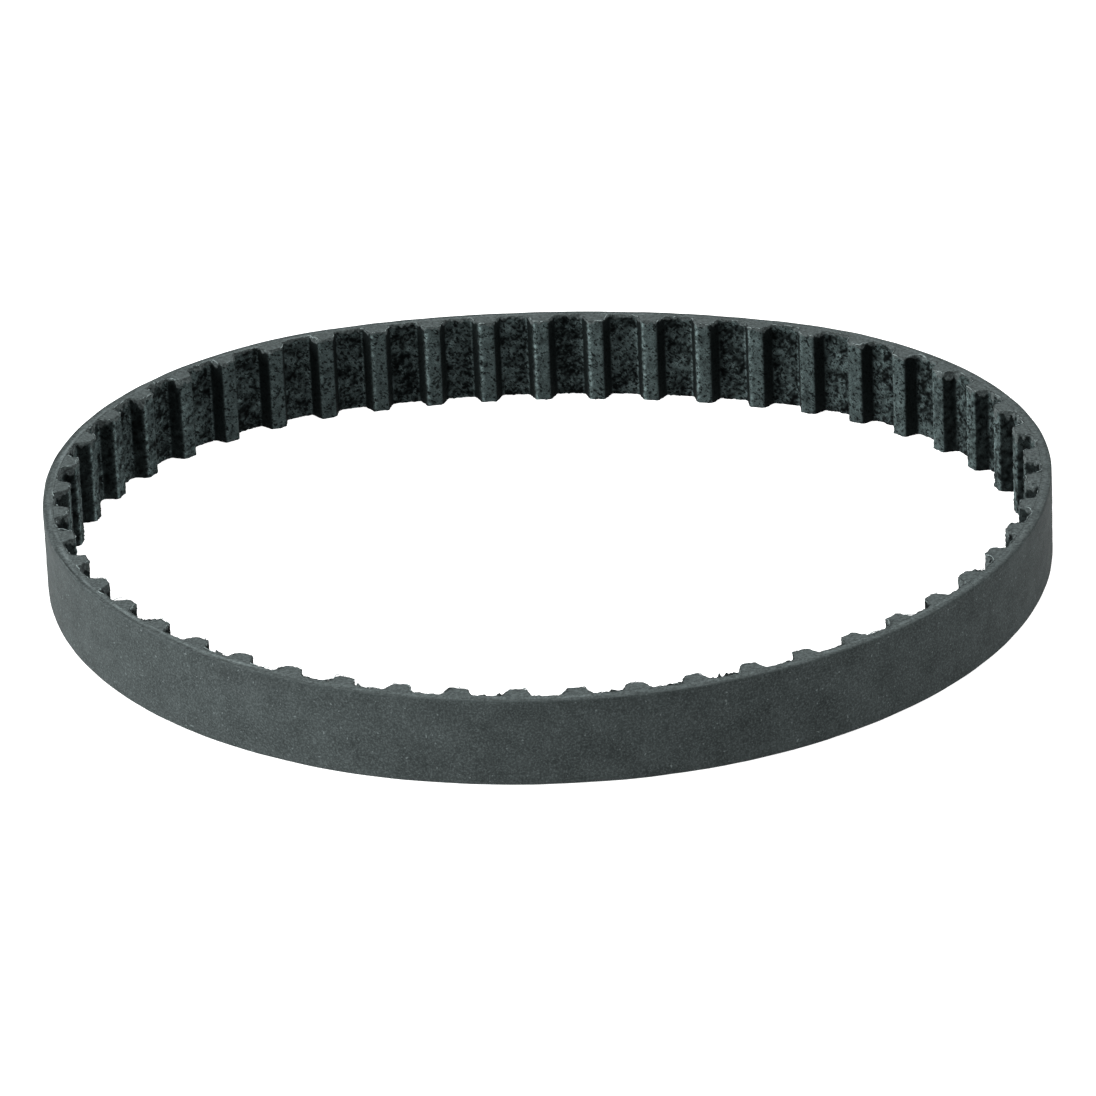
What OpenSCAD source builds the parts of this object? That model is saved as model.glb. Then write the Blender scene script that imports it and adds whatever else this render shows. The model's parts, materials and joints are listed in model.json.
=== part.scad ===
// Endless timing belt with trapezoidal teeth, lying on one edge in its free shape.
//
// The belt bends everywhere along its length. Here it is cut at the lands, the thin places
// between teeth, into rigid lengths that hinge on the pitch line, where the cords lie. Each
// length holds the four things a belt is made of: the rubber backing, the tension cords, the
// rubber teeth and the woven facing. +Z is across the belt, and the belt stands on z = 0.

/* [Belt] */
// Number of teeth round the whole belt
tooth_count = 51; // [51]
// Distance from one tooth to the next along the pitch line
pitch = 5.08; // [5.08]
// Width of the belt
belt_w = 7.94; // [6.35:0.01:12.7]
// Distance from the pitch line out to the smooth back
back_depth = 0.776; // [0.6:0.01:1.2]
// Distance from the pitch line in to the surface of a land
land_depth = 0.254; // [0.25:0.001:0.26]
// Rounding along the two outer edges of the back
back_edge_r = 0.2; // [0.05:0.05:0.4]

/* [Teeth] */
// Height of a tooth above the land
tooth_h = 1.27; // [1.0:0.01:1.4]
// Width of a tooth where its flanks meet the land
tooth_root_w = 2.57; // [2.4:0.01:2.7]
// Angle of each flank from straight down
flank_angle = 25; // [20:1:30]
// Radius where a flank runs into the land
root_r = 0.38; // [0.2:0.01:0.4]
// Radius along a tooth's tip
tip_r = 0.38; // [0.2:0.01:0.4]

/* [Layers] */
// Thickness of the woven facing
facing_t = 0.11; // [0.08:0.01:0.12]
// Diameter of a tension cord
cord_d = 0.26; // [0.2:0.01:0.27]
// Distance from one cord to the next across the belt
cord_spacing = 0.56; // [0.4:0.01:0.8]
// Clearance round a cord in its channel
cord_clearance = 0.005; // [0.002:0.001:0.01]

/* [Free shape] */
// How much more sharply the belt turns at its two ends than at its long sides
oval = 0.21; // [0:0.01:0.25]
// How much flatter one long side is than the other
egg = 0.22; // [0:0.01:0.25]
// How much the turning gathers at four corners
squareness = 0.14; // [0:0.01:0.15]

/* [Lengths] */
// Teeth on each length of belt but the middle one
teeth_each = 4; // [4]
// Teeth on the middle length, which faces the front
teeth_middle = 3; // [3]
// Lengths on each side of the middle one
arms = 6; // [6]
// Width of the slot between two lengths, which the bending needs
slot_w = 0.6; // [0.5:0.05:0.7]

/* [Hidden] */
$fn = 180;
round_fn = 24;
section_count = 2 * arms + 1;
arc_steps = 5;
closing_steps = 40;
closing_limit = 0.3;
spare = 1;
deg_per_rad = 180 / PI;
cord_count = floor((belt_w - cord_spacing) / cord_spacing);
facing_depth = land_depth - facing_t;

// ---- The free shape: one arc for each length, going clockwise from the middle of the flat side

function teeth_on(i) = i == arms ? teeth_middle : teeth_each;
function teeth_before(i) = i == 0 ? 0 : teeth_before(i - 1) + teeth_on(i - 1);
function sum(list, upto) = upto == 0 ? 0 : list[upto - 1] + sum(list, upto - 1);

// How sharply the belt turns at angle u round its loop, where a plain circle is 1
function sharpness(u, balance) =
    1 + balance * cos(u) - oval * cos(2 * u) - egg * cos(3 * u) - squareness * cos(4 * u);

function share(i, balance) =
    teeth_on(i) * sharpness(360 * (teeth_before(i) + teeth_on(i) / 2) / tooth_count, balance);

// The angle that each length turns through, a full turn together
function turns(balance) =
    let (shares = [for (i = [0:section_count - 1]) share(i, balance)])
    [for (s = shares) 360 * s / sum(shares, section_count)];

// Pitch radius of a length
function radius(i, turn) = teeth_on(i) * pitch * deg_per_rad / turn[i];

// Where each length starts, and the last one's end: [x, y, heading]
function starts(turn, i = 0, at = [0, 0, 0]) =
    i == section_count ? [at] :
    let (r = radius(i, turn), after = at[2] - turn[i])
    concat([at], starts(turn, i + 1, [
        at[0] + r * (sin(at[2]) - sin(after)),
        at[1] - r * (cos(at[2]) - cos(after)),
        after
    ]));

function opening(balance) = starts(turns(balance))[section_count][0];

// The balance at which the loop closes, halving the range each step
function closed(low, high, steps) =
    let (middle = (low + high) / 2)
    steps == 0 ? middle :
    opening(low) * opening(middle) <= 0 ? closed(low, middle, steps - 1)
                                        : closed(middle, high, steps - 1);

turn = turns(closed(-closing_limit, closing_limit, closing_steps));
start = starts(turn);
// Half the pitch line's depth: the middle of the middle length is its nearest point
front_r = radius(arms, turn);
front_y = start[arms][1] - front_r * (cos(start[arms][2]) + 1);
half_depth = -front_y / 2;

// Puts a length's own frame in place: its arc runs from angle 0 to turn[i] about the origin
module in_place(i) {
    r = radius(i, turn);
    heading = start[i][2];
    translate([start[i][0] + r * sin(heading), start[i][1] + half_depth - r * cos(heading), 0])
        rotate([0, 0, heading + 90 - turn[i]])
            children();
}

// Angle of half a slot on a length
function slot_angle(i) = slot_w / 2 / radius(i, turn) * deg_per_rad;

// Sweeps a cross-section along a length, from slot to slot
module sweep(i) {
    rotate([0, 0, slot_angle(i)])
        rotate_extrude(angle = turn[i] - 2 * slot_angle(i))
            children();
}

// ---- The tooth's outline, with its land on the X axis and its tip below it

function round_points(middle, r, from, to) =
    [for (k = [0:arc_steps]) let (a = from + (to - from) * k / arc_steps)
        middle + r * [cos(a), sin(a)]];

function mirrored(points) = [for (k = [len(points) - 1:-1:0]) [-points[k][0], points[k][1]]];

// The outline set in from the tooth's surface by an amount
function tooth_points(inset) =
    let (
        reach = tan((90 - flank_angle) / 2),
        root_middle = [tooth_root_w / 2 + root_r * reach, -root_r],
        tip_half_w = tooth_root_w / 2 - tooth_h * tan(flank_angle),
        tip_middle = [tip_half_w - tip_r * reach, tip_r - tooth_h],
        side = concat(
            [[root_middle[0], spare]],
            round_points(root_middle, root_r + inset, 90, 180 - flank_angle),
            round_points(tip_middle, tip_r - inset, -flank_angle, -90)
        )
    )
    concat(side, mirrored(side));

// Every tooth of a length, cut off at the backing
module tooth_outlines(i, inset) {
    r = radius(i, turn);
    intersection() {
        circle(r - facing_depth);
        for (k = [0:teeth_on(i) - 1])
            rotate([0, 0, turn[i] * (k + 0.5) / teeth_on(i) - 90])
                translate([0, r - land_depth])
                    polygon(tooth_points(inset));
    }
}

// A wedge that holds a length from slot to slot
module wedge(i) {
    from = slot_angle(i);
    to = turn[i] - slot_angle(i);
    reach = 2 * radius(i, turn);
    polygon([[0, 0], reach * [cos(from), sin(from)], reach * [cos(to), sin(to)]]);
}

// ---- The four layers

// Where the cords lie across the belt
function cord_heights() =
    [for (k = [0:cord_count - 1]) belt_w / 2 + (k - (cord_count - 1) / 2) * cord_spacing];

module backing_section(r) {
    inner = r - facing_depth;
    outer = r + back_depth;
    difference() {
        translate([inner, 0]) square([outer - inner, belt_w]);
        for (z = cord_heights())
            translate([r, z]) circle(cord_d / 2 + cord_clearance, $fn = round_fn);
        for (edge = [0, 1])
            translate([outer, edge * belt_w]) mirror([0, edge])
                difference() {
                    translate([-back_edge_r, -spare]) square([back_edge_r + spare, back_edge_r + spare]);
                    translate([-back_edge_r, back_edge_r]) circle(back_edge_r, $fn = round_fn);
                }
    }
}

module backing(i) {
    color("dimgray") in_place(i) sweep(i) backing_section(radius(i, turn));
}

module cords(i) {
    color("ivory") in_place(i) sweep(i)
        for (z = cord_heights())
            translate([radius(i, turn), z]) circle(cord_d / 2, $fn = round_fn);
}

module teeth(i) {
    color("darkslategray") in_place(i)
        linear_extrude(belt_w) tooth_outlines(i, facing_t);
}

module facing(i) {
    r = radius(i, turn);
    color("slategray") in_place(i)
        linear_extrude(belt_w)
            intersection() {
                wedge(i);
                difference() {
                    union() {
                        difference() {
                            circle(r - facing_depth);
                            circle(r - land_depth);
                        }
                        tooth_outlines(i, 0);
                    }
                    tooth_outlines(i, facing_t);
                }
            }
}

function two_digits(n) = str(n < 10 ? "0" : "", n);

for (i = [0:section_count - 1]) {
    backing(i);
    cords(i);
    teeth(i);
    facing(i);
}
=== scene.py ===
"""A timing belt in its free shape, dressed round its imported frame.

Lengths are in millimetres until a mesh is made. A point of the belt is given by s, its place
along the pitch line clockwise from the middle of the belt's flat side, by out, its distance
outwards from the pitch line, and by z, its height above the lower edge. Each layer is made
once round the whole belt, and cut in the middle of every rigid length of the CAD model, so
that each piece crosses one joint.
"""
import json
import math

import bpy
import numpy as np
from mathutils import Matrix, Vector

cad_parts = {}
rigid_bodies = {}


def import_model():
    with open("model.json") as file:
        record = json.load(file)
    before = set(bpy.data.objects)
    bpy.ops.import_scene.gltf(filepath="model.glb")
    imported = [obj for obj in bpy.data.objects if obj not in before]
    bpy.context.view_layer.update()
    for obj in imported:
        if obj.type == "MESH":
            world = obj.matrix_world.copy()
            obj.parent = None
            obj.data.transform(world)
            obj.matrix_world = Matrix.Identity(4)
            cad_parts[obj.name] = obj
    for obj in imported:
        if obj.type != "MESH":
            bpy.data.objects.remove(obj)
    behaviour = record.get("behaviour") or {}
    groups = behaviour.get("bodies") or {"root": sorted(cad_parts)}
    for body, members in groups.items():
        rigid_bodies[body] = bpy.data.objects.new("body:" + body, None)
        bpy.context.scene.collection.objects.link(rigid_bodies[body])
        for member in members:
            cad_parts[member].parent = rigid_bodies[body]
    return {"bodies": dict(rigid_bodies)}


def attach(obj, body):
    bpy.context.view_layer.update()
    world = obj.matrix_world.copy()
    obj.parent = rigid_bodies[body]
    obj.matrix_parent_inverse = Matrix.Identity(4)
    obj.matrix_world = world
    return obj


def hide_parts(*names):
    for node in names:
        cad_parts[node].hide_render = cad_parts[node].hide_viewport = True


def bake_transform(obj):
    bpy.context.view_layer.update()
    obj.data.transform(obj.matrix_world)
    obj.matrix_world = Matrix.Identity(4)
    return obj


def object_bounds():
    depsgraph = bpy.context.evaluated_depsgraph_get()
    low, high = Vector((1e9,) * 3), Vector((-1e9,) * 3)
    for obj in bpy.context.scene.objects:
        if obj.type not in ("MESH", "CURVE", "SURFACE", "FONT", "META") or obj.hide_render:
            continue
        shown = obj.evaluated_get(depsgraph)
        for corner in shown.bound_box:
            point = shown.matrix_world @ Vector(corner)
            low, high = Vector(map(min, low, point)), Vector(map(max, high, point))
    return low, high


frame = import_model()
cad_low, cad_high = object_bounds()

# ---- The belt's sizes, in millimetres, as in the CAD source

MM = 0.001
TEETH = 51
PITCH = 5.08
WIDTH = (cad_high.z - cad_low.z) / MM
BACK = 0.776
LAND = 0.254
BACK_EDGE_R = 0.2
TOOTH_H = 1.27
TOOTH_ROOT_W = 2.57
FLANK = math.radians(25)
ROOT_R = 0.38
TIP_R = 0.38
FACING_T = 0.11
CORD_D = 0.26
CORD_SPACING = 0.56
OVAL, EGG, SQUARENESS = 0.21, 0.22, 0.14
ARMS = 6
TEETH_ON = [4] * ARMS + [3] + [4] * ARMS

# ---- How finely each layer is made: steps in half a pitch, and across the belt

FACING_STEPS, FACING_ROWS = 34, 84
BACK_STEPS, BACK_ROWS = 10, 40
CORD_STEPS, CORD_SIDES = 3, 8
SEED = 51


# ---- The free shape

def turns(balance):
    """The angle that each rigid length turns through, a full turn together."""
    ends = np.cumsum(TEETH_ON)
    u = (ends - np.array(TEETH_ON) / 2) * 2 * math.pi / TEETH
    sharpness = (1 + balance * np.cos(u) - OVAL * np.cos(2 * u)
                 - EGG * np.cos(3 * u) - SQUARENESS * np.cos(4 * u))
    share = np.array(TEETH_ON) * sharpness
    return 2 * math.pi * share / share.sum()


def walk(turn):
    """Where each length starts, and the last one's end: rows of x, y and heading."""
    at = [(0.0, 0.0, 0.0)]
    for teeth, angle in zip(TEETH_ON, turn):
        x, y, heading = at[-1]
        r = teeth * PITCH / angle
        after = heading - angle
        at.append((x + r * (math.sin(heading) - math.sin(after)),
                   y - r * (math.cos(heading) - math.cos(after)), after))
    return np.array(at)


def closed_turns():
    """The turns at which the loop closes, found by halving."""
    low, high = -0.3, 0.3
    for _ in range(40):
        middle = (low + high) / 2
        if walk(turns(low))[-1, 0] * walk(turns(middle))[-1, 0] <= 0:
            high = middle
        else:
            low = middle
    return turns(low)


TURN = closed_turns()
START = walk(TURN)
RADIUS = np.array(TEETH_ON) * PITCH / TURN
LENGTH_START = np.concatenate([[0], np.cumsum(TEETH_ON)]) * PITCH
BELT = TEETH * PITCH
FAR_Y = cad_high.y / MM - BACK


def place(s, out, z):
    """Points of the belt in millimetres, in the row frame."""
    s, out, z = np.broadcast_arrays(np.asarray(s, float), out, z)
    i = np.clip(np.searchsorted(LENGTH_START, s, side="right") - 1, 0, len(TEETH_ON) - 1)
    r = RADIUS[i]
    first = START[i, 2]
    heading = first - (s - LENGTH_START[i]) / r
    x = START[i, 0] + r * np.sin(first) - (r + out) * np.sin(heading)
    y = START[i, 1] - r * np.cos(first) + (r + out) * np.cos(heading) + FAR_Y
    return np.stack([x, y, z], -1)


def straightened(s_tooth, x, out):
    """s of a point x along the straight line that touches the pitch line at a tooth's middle."""
    i = np.clip(np.searchsorted(LENGTH_START, s_tooth, side="right") - 1, 0, len(TEETH_ON) - 1)
    return s_tooth + x * RADIUS[i] / (RADIUS[i] + out)


# ---- The tooth's outline

def arc(middle, r, start, end, steps):
    """Points along an arc, its last one left out."""
    a = np.radians(np.linspace(start, end, steps, endpoint=False))
    return np.stack([middle[0] + r * np.cos(a), middle[1] + r * np.sin(a)], -1)


def half_outline(inset):
    """From the middle of a land to the middle of a tooth's tip: x from the tooth's middle, and
    the depth below the land as a negative number, set in from the surface by inset."""
    reach = math.tan((math.pi / 2 - FLANK) / 2)
    root_x = TOOTH_ROOT_W / 2 + ROOT_R * reach
    tip_x = TOOTH_ROOT_W / 2 - TOOTH_H * math.tan(FLANK) - TIP_R * reach
    flank = math.degrees(FLANK)
    parts = [
        np.array([[PITCH / 2, inset]]),
        arc((root_x, -ROOT_R), ROOT_R + inset, 90, 180 - flank, 8),
        arc((tip_x, TIP_R - TOOTH_H), TIP_R - inset, -flank, -90, 8),
        np.array([[tip_x, inset - TOOTH_H], [0, inset - TOOTH_H]]),
    ]
    return np.concatenate(parts)


def resampled(points, steps):
    """The same line through evenly spaced points, both ends kept."""
    run = np.concatenate([[0], np.cumsum(np.linalg.norm(np.diff(points, axis=0), axis=1))])
    at = np.linspace(0, run[-1], steps + 1)
    return np.stack([np.interp(at, run, points[:, k]) for k in (0, 1)], -1)


def outline(inset):
    """One pitch of the toothed side, from land middle to land middle, its last point left out."""
    half = resampled(half_outline(inset), FACING_STEPS)
    left = half * [-1, 1]
    return np.concatenate([left, half[-2:0:-1]])


# ---- Noise that repeats round the belt

def noise(shape, cell, size, slant=0.0, seed=0):
    """Smooth noise on a grid, with a mean of 0 and a deviation of 1. cell is the grid's spacing
    and size the blots' size, each along the belt and across it, and slant turns the blots."""
    rng = np.random.default_rng(SEED + seed)
    f = [2 * math.pi * np.fft.fftfreq(n, d) for n, d in zip(shape, cell)]
    along, across = np.meshgrid(*f, indexing="ij")
    a = along * math.cos(slant) + across * math.sin(slant)
    b = across * math.cos(slant) - along * math.sin(slant)
    keep = np.exp(-((a * size[0]) ** 2 + (b * size[1]) ** 2) / 8)
    field = np.fft.ifft2(np.fft.fft2(rng.standard_normal(shape)) * keep).real
    return (field - field.mean()) / field.std()


def smoothstep(low, high, value):
    t = np.clip((value - low) / (high - low), 0, 1)
    return t * t * (3 - 2 * t)


def bell(value, middle, width):
    return np.exp(-((value - middle) / width) ** 2)


# ---- Mesh making

def solid(name, grids, attributes, materials, sharp=50):
    """One mesh of closed skins. Each grid is rows of loops of points in millimetres, closed by a
    face at its first and last loop. attributes hold one value for each of the grids' points."""
    corners, vertices, sizes = [], [], []
    base = 0
    for grid in grids:
        rows, around = grid.shape[:2]
        flat = grid.reshape(-1, 3)
        index = base + np.arange(rows * around).reshape(rows, around)
        a, b = index[:-1], index[1:]
        quads = np.stack([a, np.roll(a, -1, 1), np.roll(b, -1, 1), b], -1).reshape(-1, 4)
        ends = [index[0][::-1], index[-1]]
        if signed_volume(grid) < 0:
            quads = quads[:, ::-1]
            ends = [end[::-1] for end in ends]
        corners += [quads.ravel(), *ends]
        sizes += [np.full(len(quads), 4), [around, around]]
        vertices.append(flat)
        base += len(flat)
    return mesh_object(name, np.concatenate(vertices), np.concatenate(corners),
                       np.concatenate(sizes), attributes, materials, sharp)


def signed_volume(grid):
    """Positive where a grid's quads face outwards."""
    a, b = grid[:-1], grid[1:]
    c, d = np.roll(b, -1, 1), np.roll(a, -1, 1)
    centre = grid.reshape(-1, 3).mean(0)
    return float((np.cross(d - a, c - a) * (a - centre)).sum()
                 + (np.cross(c - a, b - a) * (a - centre)).sum())


def mesh_object(name, vertices, corners, sizes, attributes, materials, sharp):
    mesh = bpy.data.meshes.new(name)
    mesh.vertices.add(len(vertices))
    mesh.vertices.foreach_set("co", (vertices * MM).astype(np.float32).ravel())
    mesh.loops.add(len(corners))
    mesh.loops.foreach_set("vertex_index", corners.astype(np.int32))
    mesh.polygons.add(len(sizes))
    starts = np.concatenate([[0], np.cumsum(sizes)[:-1]])
    mesh.polygons.foreach_set("loop_start", starts.astype(np.int32))
    mesh.update(calc_edges=True)
    mesh.validate()
    mesh.polygons.foreach_set("use_smooth", np.ones(len(mesh.polygons), bool))
    mesh.set_sharp_from_angle(angle=math.radians(sharp))
    rest = mesh.attributes.new("rest", "FLOAT_VECTOR", "POINT")
    rest.data.foreach_set("vector", vertices.astype(np.float32).ravel())
    for key, values in attributes.items():
        values = np.asarray(values, np.float32)
        single = values.size == len(vertices)
        made = mesh.attributes.new(key, "FLOAT" if single else "FLOAT_VECTOR", "POINT")
        made.data.foreach_set("value" if single else "vector", values.ravel())
    for material in materials:
        mesh.materials.append(material)
    obj = bpy.data.objects.new(name, mesh)
    bpy.context.scene.collection.objects.link(obj)
    return obj


# ---- Pieces: one for each joint, and one for each end at the open land

BODIES = sorted(frame["bodies"])
MIDDLES = (LENGTH_START[:-1] + LENGTH_START[1:]) / 2
CUTS = np.concatenate([[0], MIDDLES, [BELT]])
SPANS = len(CUTS) - 1


def half_pitches(span):
    """The first and last half pitch of a span."""
    return [int(round(2 * s / PITCH)) for s in CUTS[span:span + 2]]


def hang_on(piece, span):
    """Makes an end piece follow the one length that it lies on; a piece between two lengths stays
    where it is made, its place baked into its mesh.
    """
    if span == 0:
        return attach(piece, BODIES[0])
    if span == SPANS - 1:
        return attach(piece, BODIES[-1])
    start, end = (place(s, 0, WIDTH / 2) * MM for s in CUTS[span:span + 2])
    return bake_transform(piece)


def layer(name, make, node=None):
    """Makes a layer's piece for each span, and lets it stand for that layer's CAD nodes."""
    for span in range(SPANS):
        piece = make(f"{name}_piece_{span + 1:02d}", span)
        hang_on(piece, span)
        if node and span < len(BODIES):
            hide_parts(f"{node}_{span + 1:02d}")


# ---- The rubber backing

def backing_section():
    """The backing's outline across the belt, as a loop of out and z."""
    inner = FACING_T - LAND
    top = WIDTH - BACK_EDGE_R
    edge = BACK - BACK_EDGE_R
    rise = np.linspace(WIDTH / 2, top, BACK_ROWS // 2, endpoint=False)
    upper = np.concatenate([
        np.stack([np.full_like(rise, BACK), rise], -1),
        arc((edge, top), BACK_EDGE_R, 0, 90, 5),
        np.stack([np.linspace(edge, inner, 9), np.full(9, WIDTH)], -1),
        [[inner, WIDTH * 0.75]],
    ])
    lower = upper[:0:-1] * [1, -1] + [0, WIDTH]
    return np.concatenate([upper, [[inner, WIDTH / 2]], lower])


# How deep the grain is on the outside and on the cut faces, how large it is, and about how far
# apart the section's points are
BACK_GRAIN, CUT_GRAIN, GRAIN_SIZE, SECTION_STEP = 0.012, 0.03, (1.6, 0.4), 0.2
# The light streak of cut cords on the cut faces, and the duller rubber outside it
STREAK_OUT, STREAK_W, STREAK_LIGHT = 0.1, 0.2, 0.45
DULL_OUT, DULL = (0.2, 0.6), 0.22


def make_backing():
    """The whole backing's points, one loop at each step, and what they look like: how far a point
    is on a cut face, and how light that face is."""
    loop = backing_section()
    inner = loop[:, 0].min()
    steps = 2 * TEETH * BACK_STEPS
    s = np.arange(steps + 1) * PITCH / 2 / BACK_STEPS
    out = np.broadcast_to(loop[:, 0], (steps + 1, len(loop))).copy()
    z = np.broadcast_to(loop[:, 1], out.shape).copy()
    edge = np.clip((np.abs(loop[:, 1] - WIDTH / 2) - WIDTH / 2 + BACK_EDGE_R) / BACK_EDGE_R, 0, 1)
    shape, cell = (steps, len(loop)), (PITCH / 2 / BACK_STEPS, SECTION_STEP)
    grain, knife = (noise(shape, cell, GRAIN_SIZE, seed=seed) for seed in (1, 2))
    grain, knife = (np.concatenate([n, n[:1]]) for n in (grain, knife))
    behind = (out > BACK - BACK_EDGE_R / 2) * 1.0
    cords_cut = bell(out, STREAK_OUT, STREAK_W) * smoothstep(-0.4, 1.4, knife)
    bare = 1 - DULL * smoothstep(*DULL_OUT, out) + STREAK_LIGHT * cords_cut
    inside = smoothstep(inner, inner + 0.4, out)
    out -= BACK_GRAIN * behind * np.clip(grain + 1.5, 0, 3)
    sink = CUT_GRAIN * edge ** 4 * inside * np.clip(knife + 1.2, 0, 2.5)
    z -= np.sign(z - WIDTH / 2) * sink
    return place(s[:, None], out, z), {"cut": edge ** 3 + 0 * out, "bare": bare}


def backing_piece(name, span):
    first, last = (BACK_STEPS * h for h in half_pitches(span))
    points, looks = backing
    part = slice(first, last + 1)
    return solid(name, [points[part]], {key: v[part] for key, v in looks.items()}, [RUBBER])


# ---- The tension cords

def cord_heights():
    count = int((WIDTH - CORD_SPACING) / CORD_SPACING)
    return WIDTH / 2 + (np.arange(count) - (count - 1) / 2) * CORD_SPACING


# How much a strand's twisted shape turns in a millimetre, in radians, and how uneven it is
TWIST, UNEVEN = 1.9, 0.08


def cords_piece(name, span):
    first, last = half_pitches(span)
    s = np.arange(first * CORD_STEPS, last * CORD_STEPS + 1) * PITCH / 2 / CORD_STEPS
    a = np.arange(CORD_SIDES) * 2 * math.pi / CORD_SIDES
    strands = 1 - UNEVEN * (1 + np.cos(2 * (a - s[:, None] * TWIST)))
    r = CORD_D / 2 * strands
    grids = [place(s[:, None], r * np.cos(a), z + r * np.sin(a)) for z in cord_heights()]
    return solid(name, grids, {}, [CORD])


# ---- The rubber teeth

TOOTH_LEVELS = 10


def tooth_middles(span):
    """s of each tooth whose middle is on a span. One on a cut belongs to the later span."""
    s = (np.arange(TEETH) + 0.5) * PITCH
    return s[(s >= CUTS[span] - MM) & (s < CUTS[span + 1] - MM)]


def teeth_piece(name, span):
    side = half_outline(FACING_T)[1:]
    profile = np.concatenate([side, side[-2::-1] * [-1, 1]])
    out = profile[:, 1] - LAND
    z = np.linspace(0, WIDTH, TOOTH_LEVELS)[:, None]
    grids = [place(straightened(s, profile[:, 0], out), out, z) for s in tooth_middles(span)]
    cut = np.zeros((len(grids), TOOTH_LEVELS, len(profile)))
    cut[:, [0, -1]] = 1
    return solid(name, grids, {"cut": cut, "bare": cut}, [RUBBER])


# ---- The woven facing

YARN_DEPTH, PIT_DEPTH, RIDGE_HEIGHT = 0.012, 0.05, 0.02
SLANT = math.radians(40)
# How far the fabric's upper edge frays past the belt, and how far below the edge it starts
FRAY, FRAY_DEPTH = 0.4, 0.2

# A grid spacing across the belt that keeps the two edges' noise apart
WIDE = 9

# Distances from a tooth's middle: where its tip ends and where the lands start
TIP_END, LAND_START = (0.62, 0.75), (1.2, 1.4)
# The middle and the width of the painted highlight on one corner of the tip, and of the painted
# highlight in the crease at the flank's foot
RIDGE, CREASE = (-0.57, 0.16), (-1.36, 0.05)
# Distances from the loop's middle: where the painted highlights grow fainter, and where the ends
# start
HIGHLIGHT_FADE, ENDS = (12, 24), (30, 41)

# How light the yarns are, and the painted highlights on the tips' corners and in the creases. 1 is
# the lightest that the fabric gets
LAND_LIGHT, TIP_LIGHT, FLANK_LIGHT = 0.132, 0.185, 0.018
RIDGE_HIGHLIGHT, CREASE_HIGHLIGHT = 0.4, 0.3


def fade(x):
    """1 on a tooth and 0 in the middle of a land, by the distance from the tooth's middle."""
    return 1 - smoothstep(TOOTH_ROOT_W / 2 + 0.2, PITCH / 2, np.abs(x))


def facing_line(inset, push):
    """The toothed side once round: s and out of each point, pushed out of the surface."""
    one = outline(inset)
    ahead, behind = np.roll(one, -1, 0), np.roll(one, 1, 0)
    ahead[-1, 0] += PITCH
    behind[0, 0] -= PITCH
    along = ahead - behind
    normal = np.stack([along[:, 1], -along[:, 0]], -1)
    normal /= np.linalg.norm(normal, axis=1, keepdims=True)
    one, normal = np.tile(one, (TEETH, 1)), np.tile(normal, (TEETH, 1))
    middle = (np.repeat(np.arange(TEETH), len(outline(0))) + 0.5) * PITCH
    x = one[:, :1] + normal[:, :1] * push
    depth = one[:, 1:] + normal[:, 1:] * push
    out = depth - LAND
    exact = straightened(middle[:, None], x, out)
    return middle[:, None] + x + (exact - middle[:, None] - x) * fade(x), out


def cloth_surface(shape, cell, x, land, ends, highlight_strength):
    """How light the facing's yarns are, with painted highlights on one corner of each tip and in
    one crease, and how high, at the distances x from a tooth's middle.
    """
    pit = noise(shape, cell, (0.2, 0.1), SLANT, seed=3)
    cloth = noise(shape, cell, (0.35, 0.25), SLANT, seed=4)
    blotch = noise(shape, cell, (1.0, 0.7), 0, seed=5)
    bead = noise(shape, cell, (0.22, 0.13), 0.4, seed=7)
    tip = 1 - smoothstep(*TIP_END, np.abs(x))
    flank = 1 - land - tip
    few = 1.3 - 0.5 * blotch - 0.75 * land
    pits = smoothstep(few, few + 0.45, pit) * (1 - 0.8 * flank)
    # Towards the loop's ends the flanks are painted lighter, a painted light that stands for the
    # key lamp falling on them there
    light = (LAND_LIGHT * land * (1 + 0.45 * cloth - 0.2 * blotch)
             + TIP_LIGHT * tip * (1 + (0.12 + 0.3 * ends) * cloth + 0.12 * blotch)
             + FLANK_LIGHT * flank * (1 + ends * (1 + cloth)))
    # The ridge and the crease are painted highlights on one side of each tooth, broken into beads;
    # they also raise the yarns a little
    broken = smoothstep(-0.7, 0.9, bead)
    ridge = bell(x, *RIDGE) * (0.12 + 0.88 * broken) * highlight_strength
    crease = bell(x, *CREASE) * (0.2 + 0.8 * broken[:, ::-1])
    light = (np.clip(light, 0, 1) * (1 - 0.9 * pits)
             + RIDGE_HIGHLIGHT * ridge + CREASE_HIGHLIGHT * crease)
    height = (YARN_DEPTH * np.clip(cloth - pit, -2, 2) - PIT_DEPTH * pits
              + RIDGE_HEIGHT * (ridge + crease))
    return light, height


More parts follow.
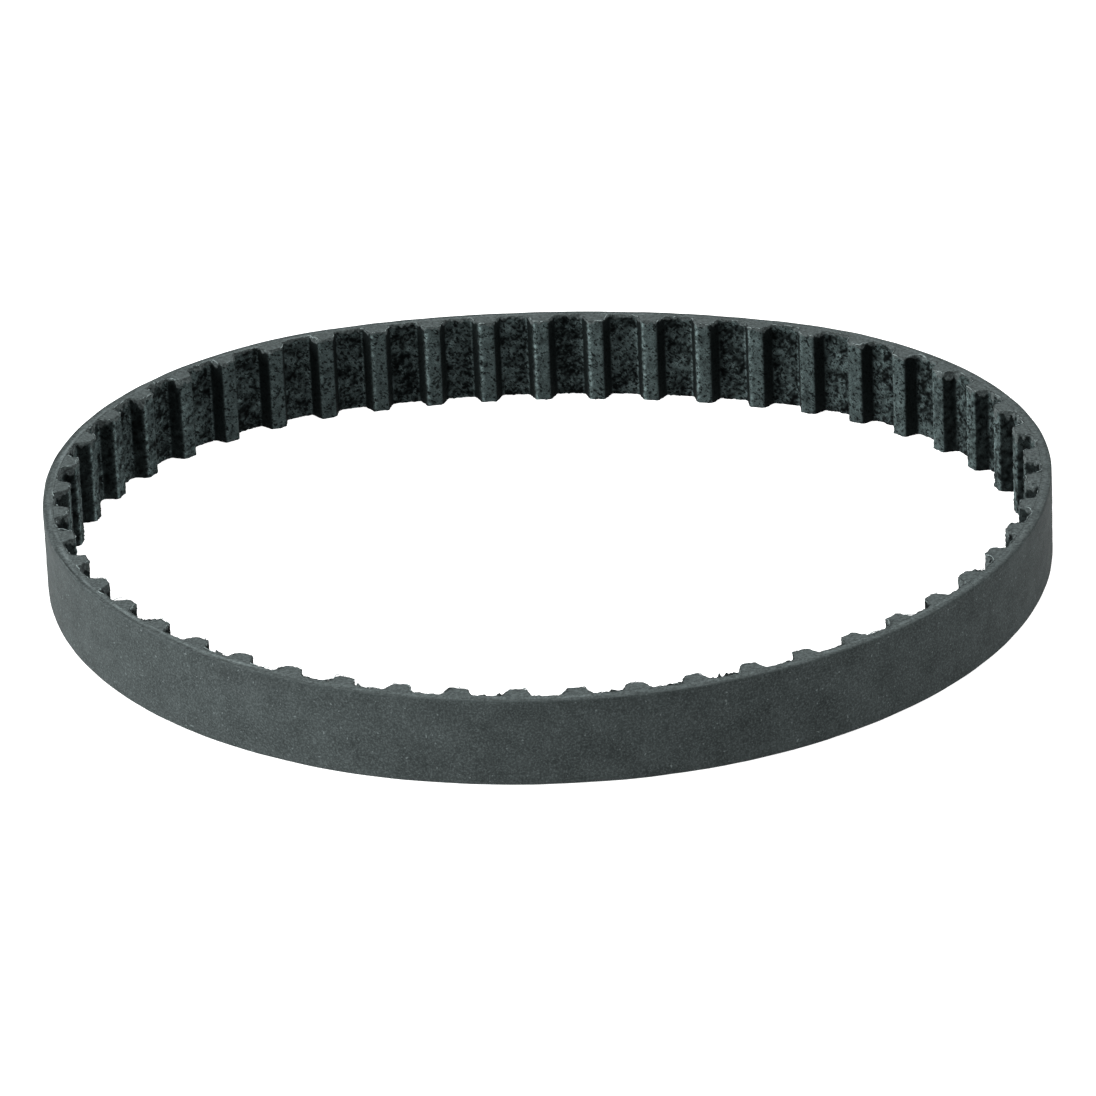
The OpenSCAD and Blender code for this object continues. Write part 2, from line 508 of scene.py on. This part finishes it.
def make_facing():
    """The whole facing's points, one loop at each point of its line, and what they look like: how
    light the yarns are, with painted highlights on the tips' corners and in the creases, how far a
    point is on the cut edge and on a land, and its place on the cloth."""
    one = outline(0)
    around = TEETH * len(one)
    step = np.linalg.norm(np.diff(one, axis=0), axis=1).mean()
    cell = (step, WIDTH / FACING_ROWS)
    shape = (around, FACING_ROWS + 1)
    x = np.tile(one[:, 0], TEETH)[:, None]
    side = np.abs(place(np.arange(around)[:, None] * BELT / around, 0, 0)[..., 0])
    land, ends = smoothstep(*LAND_START, np.abs(x)), smoothstep(*ENDS, side)
    # How strong the painted highlights are round the loop: fainter beyond its middle, and stronger
    # again at its ends
    highlight_strength = 1 - 0.8 * smoothstep(*HIGHLIGHT_FADE, side) + 0.7 * ends
    light, height = cloth_surface(shape, cell, x, land, ends, highlight_strength)
    s, out = facing_line(0, -height)
    hidden_s, hidden_out = facing_line(FACING_T, np.zeros((around, 2)))
    z = np.linspace(0, WIDTH, FACING_ROWS + 1) + np.zeros(shape)
    ragged = noise((around, 2), (step, WIDE), (0.25, 0.1), seed=6)
    lumps = noise((around, 2), (step, WIDE), (0.8, 0.1), seed=9)
    worn = noise((around, 1), (step, WIDE), (0.3, 0.1), seed=8)
    tufts = smoothstep(-0.2, 2.2, lumps + 0.5 * ragged) * (0.45 + 0.55 * land)
    z += FRAY * tufts[:, :1] * np.exp((z - WIDTH) / FRAY_DEPTH)
    z -= 0.04 * (1 + np.clip(ragged[:, :1], -1, 1)) * np.exp((z - WIDTH) / FRAY_DEPTH)
    z += 0.03 * (1 + np.clip(ragged[:, 1:], -1, 1)) * np.exp(-z / FRAY_DEPTH)
    rim = WIDTH - (0.06 + 0.12 * np.clip(1 + worn, 0, 2.8)) * (1 + 2 * ends)
    rim = smoothstep(rim - 0.05, rim + 0.05, z)
    hidden_z = np.stack([z[:, -1], z[:, 0]], -1)
    s, out, z = (np.concatenate([seen, hidden], 1) for seen, hidden in
                 ((s, hidden_s), (out, hidden_out), (z, hidden_z)))
    light, rim, land = (np.concatenate([v, v[:, -1:], v[:, :1]], 1)
                        for v in (light, rim, land + 0 * light))
    looks = {"light": light, "rim": rim, "land": land,
             "weave": np.stack([np.where(s < BELT / 2, s, s - BELT), out, z], -1)}
    wrap = place(s, out, z)
    return (np.concatenate([wrap, wrap[:1]]),
            {key: np.concatenate([v, v[:1]]) for key, v in looks.items()})


def facing_piece(name, span):
    first, last = (FACING_STEPS * h for h in half_pitches(span))
    points, looks = facing
    cut = slice(first, last + 1)
    return solid(name, [points[cut]], {key: v[cut] for key, v in looks.items()}, [FABRIC], 75)


# ---- Broken fibres along the cut edges

FIBRE_SIDES, FIBRE_POINTS = 5, 12
# The share of threads that stand out as loops, and how many threads a tooth has
LOOPS, FIBRES = 0.2, (4, 9)


def fibre(rng, s_tooth):
    """A thread that has come loose along the facing's cut edge, or stands out as a loop."""
    line = outline(0)
    step = np.linalg.norm(line[1] - line[0])
    loop = rng.random() < LOOPS
    reach = rng.uniform(0.6, 1.3) if loop else rng.uniform(0.15, 0.6)
    r = rng.uniform(0.03, 0.045) if loop else rng.uniform(0.02, 0.04)
    t = np.linspace(0, 1, FIBRE_POINTS)
    at = rng.integers(len(line)) + t * reach / step * rng.choice([-1, 1])
    x, depth = (np.interp(at, np.arange(len(line)), line[:, k]) for k in (0, 1))
    rise = np.sin(math.pi * t)
    out = depth - LAND + rise * rng.uniform(-0.1, 0.3 if loop else 0.1) + 0.02
    z = WIDTH - 0.01 + rise * rng.uniform(0.02, 0.2 if loop else 0.1)
    middle = place(s_tooth + x + 0.04 * np.sin(5 * t), np.minimum(out, BACK * 0.3), z)
    along = np.gradient(middle, axis=0) + 1e-6
    along /= np.linalg.norm(along, axis=1, keepdims=True)
    side = np.cross(along, [0.1, 0, 1.0])
    side /= np.linalg.norm(side, axis=1, keepdims=True)
    up = np.cross(side, along)
    a = (np.arange(FIBRE_SIDES) * 2 * math.pi / FIBRE_SIDES)[:, None]
    thin = r * (1 - 0.6 * t ** 3)[:, None, None]
    return middle[:, None] + thin * (np.cos(a) * side[:, None] + np.sin(a) * up[:, None])


def fibres_piece(name, span):
    rng = np.random.default_rng(SEED * 100 + span)
    grids = [fibre(rng, s) for s in tooth_middles(span) for _ in range(rng.integers(*FIBRES))]
    return solid(name, grids, {}, [THREAD])


# ---- Materials

# How much red a grey has for its green and blue: in the rubber, and in the darker fabric
RED, FABRIC_RED = 0.84, 0.74
# The highlights' colour, and how rough and how glossy each material is
SHEEN = (0.75, 1, 1, 1)
RUBBER_GLOSS, FABRIC_GLOSS = (0.75, 0.06), (0.85, 0.04)
CORD_GLOSS, FLOOR_GLOSS = (0.55, 0.4), (0.9, 0.1)


def grey(level, red=RED):
    """The belt's greys lean a little to green and blue, and the dark ones more."""
    return (level * red, level, level, 1)


class Paint:
    """A material's nodes, joined up by short calls."""

    def __init__(self, name, roughness, specular):
        self.material = bpy.data.materials.new(name)
        self.material.use_nodes = True
        self.tree = self.material.node_tree
        self.shader = self.tree.nodes["Principled BSDF"]
        self.shader.inputs["Roughness"].default_value = roughness
        self.shader.inputs["Specular IOR Level"].default_value = specular
        self.shader.inputs["Specular Tint"].default_value = SHEEN

    def node(self, kind, links=(), **settings):
        made = self.tree.nodes.new(kind)
        for key, value in settings.items():
            setattr(made, key, value)
        for key, value in dict(links).items():
            if isinstance(value, bpy.types.NodeSocket):
                self.tree.links.new(value, made.inputs[key])
            else:
                made.inputs[key].default_value = value
        return made

    def value(self, name):
        return self.node("ShaderNodeAttribute", attribute_name=name).outputs["Fac"]

    def noise(self, size, detail=3, roughness=0.6, stretch=(1, 1, 1), turn=0.0, where="rest"):
        """Noise whose blots are about size millimetres wide, before they are stretched."""
        at = self.node("ShaderNodeAttribute", attribute_name=where).outputs["Vector"]
        at = self.node("ShaderNodeMapping", {"Vector": at, "Rotation": (0, turn, 0),
                                             "Scale": stretch}, vector_type="TEXTURE").outputs[0]
        links = {"Vector": at, "Scale": 1 / size, "Detail": detail, "Roughness": roughness}
        return self.node("ShaderNodeTexNoise", links).outputs["Fac"]

    def ramp(self, value, stops, red=RED):
        made = self.node("ShaderNodeValToRGB", {"Fac": value})
        elements = made.color_ramp.elements
        for _ in stops[2:]:
            elements.new(0.5)
        for element, (position, level) in zip(elements, stops):
            element.position = position
            element.color = grey(level, red)
        return made.outputs["Color"]

    def mix(self, factor, a, b, blend="MIX"):
        made = self.node("ShaderNodeMix", data_type="RGBA", blend_type=blend)
        for key, value in ((0, factor), (6, a), (7, b)):
            if isinstance(value, bpy.types.NodeSocket):
                self.tree.links.new(value, made.inputs[key])
            else:
                made.inputs[key].default_value = value
        return made.outputs[2]

    def number(self, operation, a, b=0.0, c=0.0):
        return self.node("ShaderNodeMath", {0: a, 1: b, 2: c}, operation=operation).outputs[0]

    def bump(self, height, distance):
        """Bumps of that height in millimetres."""
        links = {"Height": height, "Distance": distance * MM, "Strength": 1.0}
        if self.shader.inputs["Normal"].links:
            links["Normal"] = self.shader.inputs["Normal"].links[0].from_socket
        made = self.node("ShaderNodeBump", links)
        self.tree.links.new(made.outputs[0], self.shader.inputs["Normal"])

    def set(self, name, value):
        self.tree.links.new(value, self.shader.inputs[name])


def rubber():
    """Ground matt rubber, with a dull bloom and dust specks, and lighter where it is cut."""
    p = Paint("rubber", *RUBBER_GLOSS)
    cloud = p.noise(3, 4, 0.65)
    grain = p.noise(0.17, 4, 0.7)
    back = p.mix(0.6, p.ramp(cloud, [(0.3, 0.014), (0.7, 0.044)]),
                 p.ramp(grain, [(0.32, 0.006), (0.5, 0.024), (0.7, 0.072)]))
    speck = p.ramp(p.noise(0.26, 0, 0.5), [(0.79, 0.0), (0.84, 1.0)])
    back = p.mix(p.number("MULTIPLY", speck, 0.6), back, grey(0.11))
    torn = p.noise(0.25, 5, 0.75)
    face = p.ramp(p.number("MULTIPLY", p.value("bare"), p.number("POWER", torn, 1.6)),
                  [(0.0, 0.0), (1.0, 0.22)])
    p.set("Base Color", p.mix(p.value("cut"), back, face))
    p.set("Roughness", p.number("MULTIPLY_ADD", grain, 0.3, 0.6))
    p.bump(grain, 0.02)
    p.bump(torn, 0.02)
    return p.material


def fabric():
    """Woven nylon: grey yarns over black rubber, darkest on the flanks, with painted highlights on
    the tips' corners and in the creases.
    """
    p = Paint("fabric", *FABRIC_GLOSS)
    fuzz = p.noise(0.12, 3, 0.7)
    holes = p.noise(0.2, 2, 0.6, (1.7, 1, 1), SLANT, "weave")
    light = p.number("MULTIPLY", p.value("light"), p.number("MULTIPLY_ADD", fuzz, 3.0, -0.5))
    closed = p.number("MULTIPLY_ADD", p.value("land"), -0.04, holes)
    light = p.number("MULTIPLY", light, p.ramp(closed, [(0.37, 0.06), (0.42, 1.0)]))
    cloth = p.ramp(light, [(0.0, 0.0), (1.0, 0.2)], FABRIC_RED)
    edge = p.ramp(p.noise(0.25, 4, 0.75), [(0.3, 0.014), (0.5, 0.042), (0.7, 0.1)])
    p.set("Base Color", p.mix(p.value("rim"), cloth, edge))
    p.bump(fuzz, 0.02)
    p.bump(holes, 0.02)
    return p.material


def thread(name, low, high):
    """Strands whose albedo goes from low to high."""
    p = Paint(name, *CORD_GLOSS)
    p.set("Base Color", p.ramp(p.noise(0.15, 2), [(0.3, low), (0.7, high)]))
    p.bump(p.noise(0.05, 1), 0.01)
    return p.material


RUBBER = rubber()
FABRIC = fabric()
CORD = thread("glass_cord", 0.45, 0.7)
THREAD = thread("loose_thread", 0.03, 0.24)

backing = make_backing()
facing = make_facing()
layer("backing", backing_piece, "backing")
layer("cords", cords_piece, "cords")
layer("teeth", teeth_piece, "teeth")
layer("facing", facing_piece, "facing")
layer("fibres", fibres_piece)


# ---- Floor, lights and camera

def floor():
    half = 3.0
    mesh = bpy.data.meshes.new("floor")
    corners = [(-half, -half, 0), (half, -half, 0), (half, half, 0), (-half, half, 0)]
    mesh.from_pydata(corners, [], [(0, 1, 2, 3)])
    paint = Paint("floor", *FLOOR_GLOSS)
    paint.shader.inputs["Base Color"].default_value = (0.8, 0.8, 0.8, 1)
    paint.shader.inputs["Emission Color"].default_value = (1, 1, 1, 1)
    paint.shader.inputs["Emission Strength"].default_value = 0.7
    mesh.materials.append(paint.material)
    obj = bpy.data.objects.new("floor", mesh)
    bpy.context.scene.collection.objects.link(obj)
    obj.location.z = cad_low.z


def lamp(name, azimuth, elevation, distance, size, power):
    """A square soft box that faces the belt. Azimuth 0 is in front of it and 90 to its right."""
    a, e = math.radians(azimuth), math.radians(elevation)
    back = Vector((math.sin(a) * math.cos(e), -math.cos(a) * math.cos(e), math.sin(e)))
    light = bpy.data.lights.new(name, "AREA")
    light.size = size
    light.energy = power
    obj = bpy.data.objects.new(name, light)
    bpy.context.scene.collection.objects.link(obj)
    obj.location = back * distance
    obj.rotation_euler = back.to_track_quat("Z", "Y").to_euler()


def world(strength):
    scene = bpy.context.scene
    scene.world = scene.world or bpy.data.worlds.new("world")
    scene.world.use_nodes = True
    background = scene.world.node_tree.nodes["Background"]
    background.inputs["Color"].default_value = (1, 1, 1, 1)
    background.inputs["Strength"].default_value = strength
    scene.view_settings.view_transform = "Standard"


def camera():
    """A long lens from above and in front, turned a little so that the belt's right end lifts."""
    azimuth, elevation, roll = (math.radians(a) for a in (4.49, 26.22, 2.45))
    distance = 0.7012
    side_aim, drop_aim = 0.00023, 0.00097
    centre = (cad_low + cad_high) / 2
    back = Vector((math.sin(azimuth) * math.cos(elevation),
                   -math.cos(azimuth) * math.cos(elevation), math.sin(elevation)))
    level = Vector((math.cos(azimuth), math.sin(azimuth), 0))
    rise = back.cross(level)
    right = level * math.cos(roll) - rise * math.sin(roll)
    up = rise * math.cos(roll) + level * math.sin(roll)
    eye = centre + back * distance
    aim = centre + right * side_aim - up * drop_aim
    back = (eye - aim).normalized()
    right = up.cross(back).normalized()
    up = back.cross(right)
    data = bpy.data.cameras.new("camera")
    data.sensor_width = 36
    data.lens = 263
    data.clip_start, data.clip_end = 0.05, 20
    obj = bpy.data.objects.new("camera", data)
    bpy.context.scene.collection.objects.link(obj)
    turn = Matrix((right, up, back)).transposed().to_4x4()
    obj.matrix_world = Matrix.Translation(eye) @ turn
    bpy.context.scene.camera = obj


floor()
world(0.4)
lamp("key", -70, 15, 0.9, 0.4, 20.0)
lamp("fill", 95, 15, 0.9, 0.4, 5.0)
lamp("top", 10, 80, 0.9, 0.6, 5.0)
camera()
